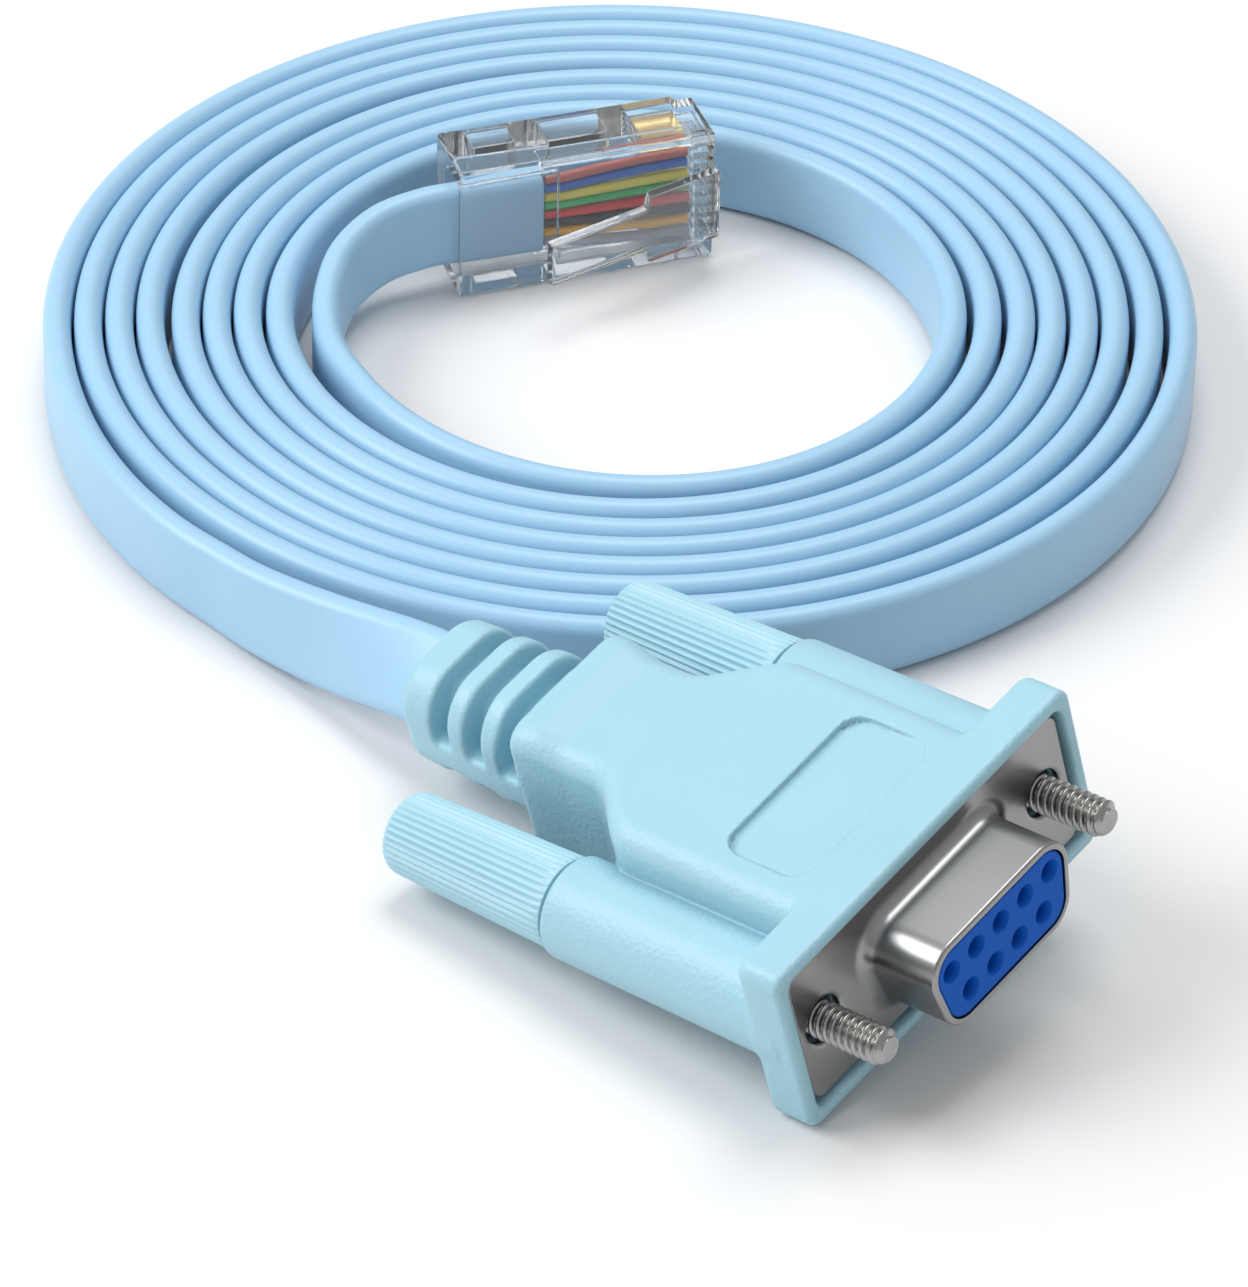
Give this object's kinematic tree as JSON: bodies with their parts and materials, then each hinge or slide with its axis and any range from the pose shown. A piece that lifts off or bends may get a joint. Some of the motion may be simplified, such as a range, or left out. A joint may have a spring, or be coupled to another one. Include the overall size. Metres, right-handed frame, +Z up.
{
  "type": "rj45 console cable",
  "caption": "Flat serial console cable, coiled on its edge, with a moulded D connector with thumbscrews at one end and a clear modular plug at the other.",
  "frame": {"origin": "on the floor, under the middle of the D connector's footprint", "axes": "+Y from the D connector's mating face back towards its cable, +Z up, +X along its rows of holes"},
  "size_m": [0.1092, 0.1222, 0.0214],
  "materials": {
    "hood_plastic": "pale cyan moulded vinyl with a fine matt grain",
    "cable_jacket": "smooth satin sky-blue vinyl",
    "nickelled_steel": "satin nickel-plated steel",
    "screw_steel": "bright plated steel",
    "insulator_plastic": "satin saturated blue plastic",
    "contact_gold": "gold flash on bronze",
    "clear_plastic": "clear polished polycarbonate",
    "wire_brown": "smooth vinyl",
    "wire_blue": "smooth vinyl",
    "wire_yellow": "smooth vinyl",
    "wire_green": "smooth vinyl",
    "wire_red": "smooth vinyl",
    "wire_black": "smooth vinyl",
    "wire_orange": "smooth vinyl",
    "wire_grey": "smooth vinyl"
  },
  "bodies": {
    "cable_and_housings": {"hood": "hood_plastic", "face_plate": "nickelled_steel", "insulator": "insulator_plastic", "socket_contact_1": "contact_gold", "socket_contact_2": "contact_gold", "socket_contact_3": "contact_gold", "socket_contact_4": "contact_gold", "socket_contact_5": "contact_gold", "socket_contact_6": "contact_gold", "socket_contact_7": "contact_gold", "socket_contact_8": "contact_gold", "socket_contact_9": "contact_gold", "cable_lead": "cable_jacket", "cable_coil": "cable_jacket", "cable_tail": "cable_jacket", "plug_body": "clear_plastic", "wire_brown": "wire_brown", "wire_blue": "wire_blue", "wire_yellow": "wire_yellow", "wire_green": "wire_green", "wire_red": "wire_red", "wire_black": "wire_black", "wire_orange": "wire_orange", "wire_grey": "wire_grey", "contact_blade_1": "contact_gold", "contact_blade_2": "contact_gold", "contact_blade_3": "contact_gold", "contact_blade_4": "contact_gold", "contact_blade_5": "contact_gold", "contact_blade_6": "contact_gold", "contact_blade_7": "contact_gold", "contact_blade_8": "contact_gold"},
    "thumbscrew_near": {"jackscrew_near": "screw_steel", "knob_near": "hood_plastic"},
    "thumbscrew_far": {"jackscrew_far": "screw_steel", "knob_far": "hood_plastic"},
    "latch": {"plug_latch": "clear_plastic"}
  },
  "joints": [
    {"name": "thumbscrew_near_turn", "type": "hinge", "parent": "cable_and_housings", "child": "thumbscrew_near", "pos_m": [-0.01233, 0.00307, 0.00583], "axis": [-0.0068, 0.9954, -0.0957], "continuous": true},
    {"name": "thumbscrew_far_turn", "type": "hinge", "parent": "cable_and_housings", "child": "thumbscrew_far", "pos_m": [0.01203, 0.00377, 0.01137], "axis": [-0.0068, 0.9954, -0.0957], "continuous": true},
    {"name": "latch_press", "type": "hinge", "parent": "cable_and_housings", "child": "latch", "pos_m": [0.06317, 0.05598, 0.00584], "axis": [0, 0, -1], "range_deg": [0, 14], "stiffness_Nm_per_rad": 0.05}
  ]
}
